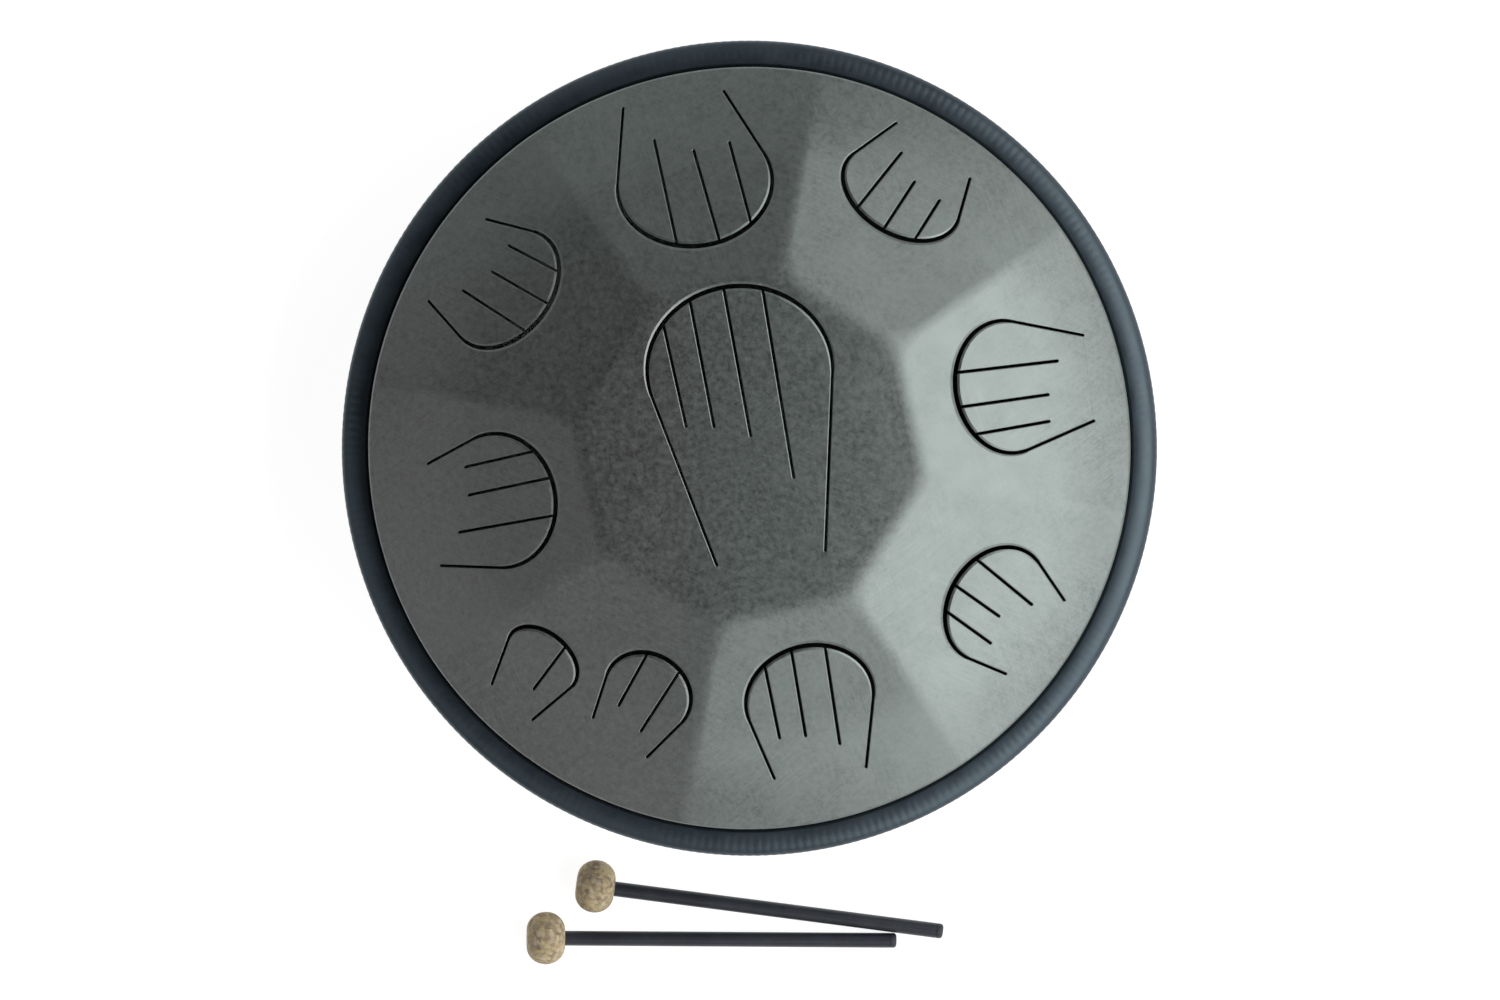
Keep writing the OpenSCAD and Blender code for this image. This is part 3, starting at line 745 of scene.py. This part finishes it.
class Tongue:
    """The slit and the fingers of one tongue, seen from above."""

    def __init__(self, direction, share, heading, wide, deep, right, left, fingers):
        self.centre = polar(direction, share)
        self.along = Vector((cos(heading), sin(heading)))
        self.across = Vector((sin(heading), -cos(heading)))
        self.half_w, self.half_d = DRUM_R * wide, DRUM_R * deep
        self.right, self.left = polar(*right), polar(*left)
        self.slim = wide / deep
        self.finger_shares = fingers

    def tip_point(self, across, along):
        """Point given in shares of the tip's half width and half depth."""
        return self.centre + self.across * self.half_w * across + self.along * self.half_d * along

    def leg_angle(self, end, side):
        """Angle on the tip's ellipse where a leg that ends there touches it."""
        d = end - self.centre
        p = Vector((d @ self.across / self.half_w, d @ self.along / self.half_d))
        return math.degrees(math.atan2(p.y, p.x) + side * math.acos(1 / p.length))

    def slit_line(self, tip_pitch=1.2, leg_pitch=4.0):
        """Middle line of the slit as (point, half width, lip), from the right leg round to the left one."""
        first = self.leg_angle(self.right, 1)
        last = self.leg_angle(self.left, -1)
        last -= 360 * math.floor((last - first) / 360)
        steps = round((last - first) / 360 * math.pi * (self.half_w + self.half_d) / tip_pitch)
        tip = []
        for k in range(steps + 1):
            a = first + (last - first) * k / steps
            full = math.sqrt(max(0, sin(180 * k / steps)))
            half_w = LEG_SLIT_W / 2 + (TIP_SLIT_W - LEG_SLIT_W) / 2 * full
            tip.append((self.tip_point(cos(a), sin(a)), half_w, LEG_LIP + (TIP_LIP - LEG_LIP) * full))
        legs = []
        for end, start in ((self.right, tip[0][0]), (self.left, tip[-1][0])):
            length = (start - end).length
            points = [end.lerp(start, d / length) for d in spread(0, length, leg_pitch)]
            legs.append([(p, LEG_SLIT_W / 2, LEG_LIP) for p in points])
        return legs[0] + tip + legs[1][::-1]

    def finger_lines(self, pitch=4.0):
        """Middle line of each finger slit, from the tip's outline inwards."""
        for start, end, along in self.finger_shares:
            a = self.tip_point(start, math.sqrt(1 - start * start))
            b = self.tip_point(end, along * self.slim)
            length = (b - a).length
            points = [a.lerp(b, d / length) for d in spread(0, length, pitch) + [length]]
            yield [(p, FINGER_SLIT_W / 2, LEG_LIP) for p in points]


def sheet_line():
    """Distances of the sheet's rings from the middle out to its edge, closer together where it bends."""
    inner, outer = DISC_R - DISC_SOFT, DISC_R + DISC_SOFT
    first, wide, middling, close, closest = 6, 6, 4, 2, 1.4
    return (spread(first, inner, wide) + spread(inner, outer, closest) + spread(outer, STEEPEN_R, middling)
            + spread(STEEPEN_R, EDGE_R, close) + [EDGE_R])


def sheet_turns(steps=20):
    """Directions of the sheet's rows, closer together at each crease."""
    crowd = 1.6
    off = [FACET_TURN / 2 * (k / steps) ** crowd for k in range(steps + 1)]
    return [CREASE_TURN + FACET_TURN * facet + side for facet in range(FACETS)
            for side in off[:-1] + [FACET_TURN - s for s in off[:0:-1]]]


def make_sheet():
    """The whole top sheet with no slits in it."""
    turns = sheet_turns()
    outer, inner = [], []
    for q in sheet_line():
        fade = smooth_step((q - FADE_R) / FADE_W)
        ring, under = [], []
        for a in turns:
            off = (a - CREASE_TURN) % FACET_TURN - FACET_TURN / 2
            r = q / (cos(off) * (1 - fade) + fade)
            p = Vector((r * cos(a), r * sin(a), 0))
            p.z = top_z(p.x, p.y)
            ring.append(p)
            under.append(p - SHEET_T * top_normal(p.x, p.y))
        outer.append(ring)
        inner.append(under)
    edge = arc((EDGE_R, EDGE_Z), -EDGE_SLOPE, -WALL_SLOPE, EDGE_BEND_R, BEND_STEPS)
    x, z, _ = edge[-1]
    foot = arc((x + WALL_H / tan(WALL_SLOPE), z - WALL_H), -WALL_SLOPE, 0, FOOT_BEND_R, BEND_STEPS)
    rise = [top_z(EDGE_R * cos(a), EDGE_R * sin(a)) - EDGE_Z for a in turns]
    for k, (r, z, h) in enumerate(edge[1:] + foot + [(SHELL_R, foot[-1][1], 0)]):
        # above the wall the section rises with the edge, which is higher between the facets' middles
        up = rise if k < len(edge) - 1 else [0] * len(turns)
        outer.append([(r * cos(a), r * sin(a), z + u) for a, u in zip(turns, up)])
        r, z = r + SHEET_T * sin(h), z - SHEET_T * cos(h)
        inner.append([(r * cos(a), r * sin(a), z + u) for a, u in zip(turns, up)])
    top = Vector((0, 0, top_z(0, 0)))
    return new_piece("sheet", loft(outer + inner[::-1], top, top - Vector((0, 0, SHEET_T))))


def slit_profile(lip):
    """One side of a slit from the bottom up, as (how far it flares out, height over the sheet's face)."""
    wall = [(0, -TOOL_REACH), (0, WALL_TOP * lip), (BURR_W, BURR_TOP * lip)]
    curve = [(out * lip, height * lip) for out, height in LIP_CURVE]
    return wall + curve + [(curve[-1][0], TOOL_REACH)]


def slit_tool(name, line):
    """Cutting solid of a slit with round ends. Its sides flare out at the sheet's face, which rounds the
    slit's lips."""
    rings = []

    def add_ring(p, ahead, w, lip, end_turn):
        side = Vector((-ahead.y, ahead.x))
        right, left = [], []
        for flare, height in slit_profile(lip):
            reach = (w + flare) * sin(end_turn)
            half = (w + flare) * cos(end_turn)
            for row, way in ((right, -1), (left, 1)):
                at = p + ahead * reach + side * half * way
                row.append((at.x, at.y, top_z(at.x, at.y) + height))
        rings.append(right + left[::-1])

    for k, (p, w, lip) in enumerate(line):
        ahead = (line[min(k + 1, len(line) - 1)][0] - line[max(k - 1, 0)][0]).normalized()
        if k == 0:
            for turn in ROUND_END:
                add_ring(p, ahead, w, lip, -turn)
        add_ring(p, ahead, w, lip, 0)
        if k == len(line) - 1:
            for turn in ROUND_END[::-1]:
                add_ring(p, ahead, w, lip, turn)
    return new_piece(name, loft(rings))


def block_tool(name, line, root_gap=0):
    """Upright block over the area inside a slit, closed along the tongue's root or just short of it."""
    outline = [p.copy() for p, _, _ in line]
    for end, next_to in ((0, 1), (-1, -2)):
        outline[end] += (outline[next_to] - outline[end]).normalized() * root_gap
    heights = (RIM_Z + TOOL_START, top_z(0, 0) + TOOL_REACH)
    return new_piece(name, loft([[(p.x, p.y, z) for p in outline] for z in heights]))


def make_top():
    """Cuts the sheet into the top shell and its tongues."""
    sheet = make_sheet()
    shell = add_object("top_shell_sheet", sheet.data.copy())
    openings = None
    for name, row in TONGUES.items():
        plan = Tongue(*row)
        line = plan.slit_line()
        slit = slit_tool("slit", line)
        opening = block_tool("opening", line)
        tongue = add_object(f"tongue_{name}_plate", sheet.data.copy())
        inside = block_tool("inside", line, ROOT_GAP)
        carve(tongue, inside, "INTERSECT")
        carve(tongue, slit)
        for finger in plan.finger_lines():
            tool = slit_tool("finger", finger)
            carve(tongue, tool)
            scrap(tool)
        finish_piece(tongue, SATIN_STEEL, "tongue_" + name, "tongue_steel", "tongue_" + name, shade_sheet)
        carve(opening, slit, "UNION")
        scrap(inside, slit)
        if openings is None:
            openings = opening
        else:
            carve(openings, opening, "UNION")
            scrap(opening)
    carve(shell, openings)
    finish_piece(shell, SATIN_STEEL, "drum", "shell_steel", "top_shell", shade_sheet)
    scrap(openings, sheet)


# Bottom shell, base ring and rim trim


def bowl_line(steps=40, neck_pitch=3):
    """Middle line of the bottom shell's section, from the top of the neck to the flange's edge."""
    floor_z = BASE_H + SHEET_T / 2
    neck_r = PORT_R + SHEET_T / 2
    neck_top = floor_z - SHEET_T / 2 + NECK_H

    def slope_at(a, wide, high):
        return math.degrees(math.atan2(high * sin(a), wide * cos(a)))

    def sizes(slope):
        wide = (FLANGE_R - BOWL_BEND_R * sin(slope) - FLOOR_R) / sin(BOWL_SWEEP)
        high = (BOWL_DEPTH - BOWL_BEND_R * (1 - cos(slope))) / (1 - cos(BOWL_SWEEP))
        return wide, high

    # the bowl is an ellipse's arc; its sizes and its slope at the flange's bend depend on each other
    wide, high = sizes(BOWL_SWEEP)
    for _ in range(2):
        wide, high = sizes(slope_at(BOWL_SWEEP, wide, high))
    neck = [(neck_r, neck_top - d, -90) for d in spread(0, NECK_H - NECK_BEND_R - SHEET_T / 2, neck_pitch)]
    line = neck + arc((neck_r, floor_z + NECK_BEND_R), -90, 0, NECK_BEND_R, BEND_STEPS)
    for k in range(steps + 1):
        a = BOWL_SWEEP * k / steps
        line.append((FLOOR_R + wide * sin(a), floor_z + high * (1 - cos(a)), slope_at(a, wide, high)))
    bend = arc(line[-1][:2], line[-1][2], 0, BOWL_BEND_R, BEND_STEPS)
    return line + bend[1:] + [(SHELL_R, bend[-1][1], 0)]


def make_bottom():
    """Spun bowl with its flange and the neck of the sound port."""
    bowl = new_piece("bottom_shell_bowl", turned(both_faces(bowl_line(), SHEET_T)))
    finish_piece(bowl, SATIN_STEEL, "drum", "shell_steel", "bottom_shell")


def make_base():
    """Rubber ring that the drum stands on."""
    section = rounded([(BASE_R - BASE_W, 0, BASE_ROUND), (BASE_R, 0, BASE_ROUND),
                       (BASE_R, BASE_H, 0), (BASE_R - BASE_W, BASE_H, 0)], BEND_STEPS)
    ring = new_piece("base_ring_rubber", turned(section))
    finish_piece(ring, base_rubber(), "drum", "base_rubber", "base_ring")


DOME_R = FLANGE_R - LIP_IN + LIP_ROUND
TRIM_HALF = SHEET_T + BOND_T / 2 + CLIP_GAP + CARRIER_T + LIP_T
TRIM_MIDDLE_R = (FLANGE_R + DRUM_R) / 2


def trim_section(dome_steps=20, skirt_pitch=18):
    """Closed (r, z) outline of the rim trim's rubber round the carrier's bed, z from the rim's middle."""
    flanges = SHEET_T + BOND_T / 2
    clip = flanges + CLIP_GAP
    carrier = clip + CARRIER_T
    lip = FLANGE_R - LIP_IN
    bed_in = lip + LIP_T / 2
    bed_out = SHELL_R + CLIP_GAP + CARRIER_T
    bend = CARRIER_BEND_R + CARRIER_T
    dome = []
    for k in range(dome_steps + 1):
        a = -90 + 180 * k / dome_steps
        dome.append((DOME_R + (DRUM_R - DOME_R) * cos(a), TRIM_HALF * sin(a), 0))
    # the skirt is a dark rubber sheet in the gap by the shell's wall, standing in for the shade there
    # the skirt ends just before the bend at the foot of the shell's wall
    shade_skirt_low = clip + SHADE_SKIRT_UP
    bend_left = max(0, FOOT_BEND_R - (shade_skirt_low - flanges))
    shade_skirt_r = FLANGE_R - math.sqrt(FOOT_BEND_R ** 2 - bend_left ** 2) + SHADE_SKIRT_GAP
    shade_skirt = []
    for a in spread(90, 270, skirt_pitch) + [270]:
        shade_skirt.append((lip + (lip - shade_skirt_r) * cos(a), shade_skirt_low + SHADE_SKIRT_T / 2 * (1 + sin(a)), 0))
    path = [(lip, clip, 0), (bed_in, clip, 0), (bed_in, carrier, 0), (bed_out, carrier, bend),
            (bed_out, -carrier, bend), (bed_in, -carrier, 0), (bed_in, -clip, 0), (lip, -clip, 0),
            (lip, -TRIM_HALF, LIP_ROUND)] + dome + [(lip, TRIM_HALF, LIP_ROUND)] + shade_skirt
    line = rounded(path)
    return [p for k, p in enumerate(line) if math.dist(p, line[k - 1]) > SAME_POINT]


def make_trim():
    """Rubber trim with fine cross ribs, which the carrier's segments press through it."""
    steps = RIBS * RIB_POINTS
    rings = []
    for r, z in trim_section():
        # the ribs show on the outer side and on the broad faces, and fade towards the lips
        outness = math.hypot((r - DOME_R) / (DRUM_R - DOME_R), z / TRIM_HALF)
        on_dome = r >= DOME_R and outness > RIB_DOME_SHARE
        shown = smooth_step((r - FLANGE_R - RIB_START) / RIB_FADE_W) if on_dome else 0
        inward = Vector((TRIM_MIDDLE_R - r, -z)).normalized()
        ring = []
        for k in range(steps):
            a = 360 * k / steps
            groove = 0.5 - 0.5 * cos(360 * k / RIB_POINTS)
            patch = noise.noise(Vector((cos(a) * RIB_PATCHES, sin(a) * RIB_PATCHES, RIB_SLICE)))
            uneven = max(RIB_LEAST, RIB_MEAN + RIB_SPREAD * patch)
            deep = RIB_DEPTH * shown * groove ** RIB_SHARPNESS * uneven
            reach = r + inward.x * deep
            ring.append((reach * cos(a), reach * sin(a), RIM_Z + z + inward.y * deep))
        rings.append(ring)
    trim = new_piece("rim_trim_rubber", loft(rings, ring_shape=True))
    finish_piece(trim, trim_rubber(), "drum", "trim_rubber", "rim_trim")


# Mallets, made upright along +Z from the tail


def shaft_section():
    """Tube that starts on the cap and ends inside the head."""
    top = MALLET_LEN + SHAFT_REACH
    return [(SHAFT_BORE_R, CAP_LEN), (SHAFT_R - SHAFT_CHAMFER, CAP_LEN), (SHAFT_R, CAP_LEN + SHAFT_CHAMFER),
            (SHAFT_R, top), (SHAFT_BORE_R, top)]


def cap_section():
    """Cap with a rounded end, a groove where it meets the shaft, and a spigot in the shaft."""
    spigot = SHAFT_BORE_R - GLUE_FIT
    end = rounded([(0, 0, 0), (SHAFT_R, 0, CAP_ROUND), (SHAFT_R, CAP_LEN, 0)], BEND_STEPS)[:-1]
    return end + [(SHAFT_R, CAP_LEN - GROOVE_DEPTH), (SHAFT_R - GROOVE_DEPTH, CAP_LEN), (spigot, CAP_LEN),
                  (spigot, CAP_LEN + SPIGOT_LEN), (0, CAP_LEN + SPIGOT_LEN)]


def head_section(steps=40):
    """Bun with a flat end, bored for the shaft from the tail's side."""
    bore = SHAFT_R + GLUE_FIT
    bore_end = MALLET_LEN + SHAFT_REACH
    section = [(0, bore_end), (bore, bore_end), (bore, MALLET_LEN - HEAD_T / 2)]
    for k in range(steps + 1):
        a = -90 + 180 * k / steps
        section.append((HEAD_FLAT_R + (HEAD_R - HEAD_FLAT_R) * cos(a), MALLET_LEN + HEAD_T / 2 * sin(a)))
    return section + [(0, MALLET_LEN + HEAD_T / 2)]


def make_mallets():
    """Lays two mallets on the floor beside the drum, each on its head and its tail."""
    tilt = math.degrees(math.asin((HEAD_R - SHAFT_R) / MALLET_LEN))
    inner_turn = OUTER_TURN + SPLAY

    def past(turn):
        return Vector((cos(turn), -sin(turn)))

    def beside(turn):
        return Vector((sin(turn), cos(turn)))

    # the inner mallet passes the round end of the outer one's tail with a narrow gap
    outer_tail = Vector((TAIL_RIGHT, -DRUM_R - MALLET_OUT))
    meet = outer_tail - CAP_ROUND * past(OUTER_TURN) + SHAFT_R * beside(OUTER_TURN)
    inner_tail = meet + (SHAFT_R + MALLET_GAP) * beside(inner_turn) + TAIL_PAST * past(inner_turn)
    parts = (("shaft", shaft_section(), rod_finish(), "shaft"), ("cap", cap_section(), cap_rubber(), "cap"),
             ("head", head_section(), mottled_head(), "mallet_head"))
    for number, tail, turn in ((1, inner_tail, inner_turn), (2, outer_tail, OUTER_TURN)):
        lay = (Matrix.Translation((tail.x * MM, tail.y * MM, SHAFT_R * MM))
               @ Matrix.Rotation(math.radians(-turn), 4, "Z")
               @ Matrix.Rotation(math.radians(tilt - 90), 4, "Y"))
        for part, section, finish, slot in parts:
            piece = new_piece(f"mallet_{number}_{part}_turned", turned(section, MALLET_STEPS))
            piece.data.transform(lay)
            finish_piece(piece, finish, f"mallet_{number}", slot, f"mallet_{number}_{part}")


def finish_hidden():
    """Gives the frame's own pieces inside the rim their finishes."""
    for node, finish in (("trim_carrier", strip_steel()), ("flange_bond", set_adhesive())):
        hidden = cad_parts[node]
        hidden.data.materials.clear()
        hidden.data.materials.append(finish)


# Stage, in metres

FLOOR_HALF = 20
FLOOR_GLOW = 0.9
FLOOR_GREY = (0.3, 0.3, 0.3, 1)
# Shares of the base ring's radius between which the painted shadow under the drum gives way to the floor's
# glow
PAINTED_SHADOW_EDGE = (0.85, 0.95)
LIGHT_DISTANCE = 2.4
# Soft lights all round, strongest on the right: direction, height above the horizon, size, watts
LIGHTS = {
    "key": (-10, 48, 1.8, 27),
    "key_left": (35, 44, 1.6, 15.5),
    "key_right": (-55, 38, 1.6, 17),
    "fill_back": (106, 35, 1.8, 3.7),
    "fill_far": (147, 30, 1.2, 1.6),
    "fill_left": (200, 39, 1.8, 4.3),
    "fill_front": (253, 40, 1.8, 4.4),
}
# Strength of the sky upward and to the right: at one place and at another, then those two places, each as
# the Z or X of a direction
SKY_UPWARD = (0.75, 0.01, 0.1, 0.5)
SKY_TO_RIGHT = (0.5, 1.6, -0.3, 0.8)
CAMERA_DISTANCE = 6.0
CAMERA_REACH = 100
SENSOR_W = 36
# Size of the photograph, and the radius and centre of the rim in it, in pixels
PHOTO_W, PHOTO_H = 1500, 1000
RIM_PX = 407.7
CENTRE_PX, CENTRE_PY = 749.4, 448.2


def make_floor():
    """Grey floor that glows white, except in a painted shadow where the drum stands on it."""
    floor = add_object("floor", bpy.data.meshes.new("floor"))
    corners = [(x * FLOOR_HALF, y * FLOOR_HALF, 0) for x, y in ((-1, -1), (1, -1), (1, 1), (-1, 1))]
    floor.data.from_pydata(corners, [], [(0, 1, 2, 3)])
    paper = Finish("white_floor")
    for label, value in (("Base Color", FLOOR_GREY), ("Roughness", 0.9), ("Specular IOR Level", 0),
                         ("Emission Strength", FLOOR_GLOW)):
        paper.feed(value, label)
    place = paper.node("ShaderNodeSeparateXYZ", {"Vector": paper.place()}).outputs
    flat = paper.node("ShaderNodeCombineXYZ", {"X": place["X"], "Y": place["Y"]}).outputs[0]
    away = paper.node("ShaderNodeVectorMath", {0: flat}, operation="LENGTH").outputs["Value"]
    # the glow fades out under the drum, which paints a shadow there
    glow_past_painted_shadow = paper.between(away, 0.0, 1.0, *(BASE_R * MM * share for share in PAINTED_SHADOW_EDGE))
    paper.feed(paper.colours(glow_past_painted_shadow, (0, 0, 0), (1, 1, 1)), "Emission Color")
    floor.data.materials.append(paper.material)


def add_lights():
    """Soft round lamps, all at one distance from the drum's middle and turned towards it."""
    for name, (azimuth, elevation, size, power) in LIGHTS.items():
        data = bpy.data.lights.new(name, "AREA")
        data.shape = "DISK"
        data.size = size
        data.energy = power
        light = add_object(name, data)
        out = Vector((cos(azimuth) * cos(elevation), sin(azimuth) * cos(elevation), sin(elevation)))
        light.location = Vector((0, 0, RIM_Z * MM)) + out * LIGHT_DISTANCE
        light.rotation_mode = "QUATERNION"
        light.rotation_quaternion = out.to_track_quat("Z", "Y")


def make_sky():
    """Pale near the horizon and most of all on the right, dark overhead."""
    world = bpy.data.worlds.new("studio")
    bpy.context.scene.world = world
    world.use_nodes = True
    sky = Nodes(world.node_tree)
    direction = sky.node("ShaderNodeTexCoord").outputs["Generated"]
    toward = sky.node("ShaderNodeSeparateXYZ", {0: direction}).outputs
    low_down = sky.between(toward["Z"], *SKY_UPWARD)
    on_right = sky.between(toward["X"], *SKY_TO_RIGHT)
    background = sky.nodes["Background"].inputs
    sky.fill(background["Color"], (1, 1, 1, 1))
    sky.fill(background["Strength"], sky.maths("MULTIPLY", low_down, on_right))


def add_camera():
    """Looks straight down, and sees the rim where the photograph shows it."""
    pixel = DRUM_R * MM / RIM_PX
    camera = add_object("camera", bpy.data.cameras.new("camera"))
    camera.data.sensor_width = SENSOR_W
    camera.data.lens = SENSOR_W * CAMERA_DISTANCE / (PHOTO_W * pixel)
    camera.data.clip_end = CAMERA_REACH
    camera.location = ((PHOTO_W / 2 - CENTRE_PX) * pixel, (CENTRE_PY - PHOTO_H / 2) * pixel,
                       RIM_Z * MM + CAMERA_DISTANCE)
    bpy.context.scene.camera = camera
    bpy.context.scene.view_settings.view_transform = "Standard"


make_floor()
add_lights()
make_sky()
add_camera()
make_top()
make_bottom()
make_base()
make_trim()
make_mallets()
finish_hidden()
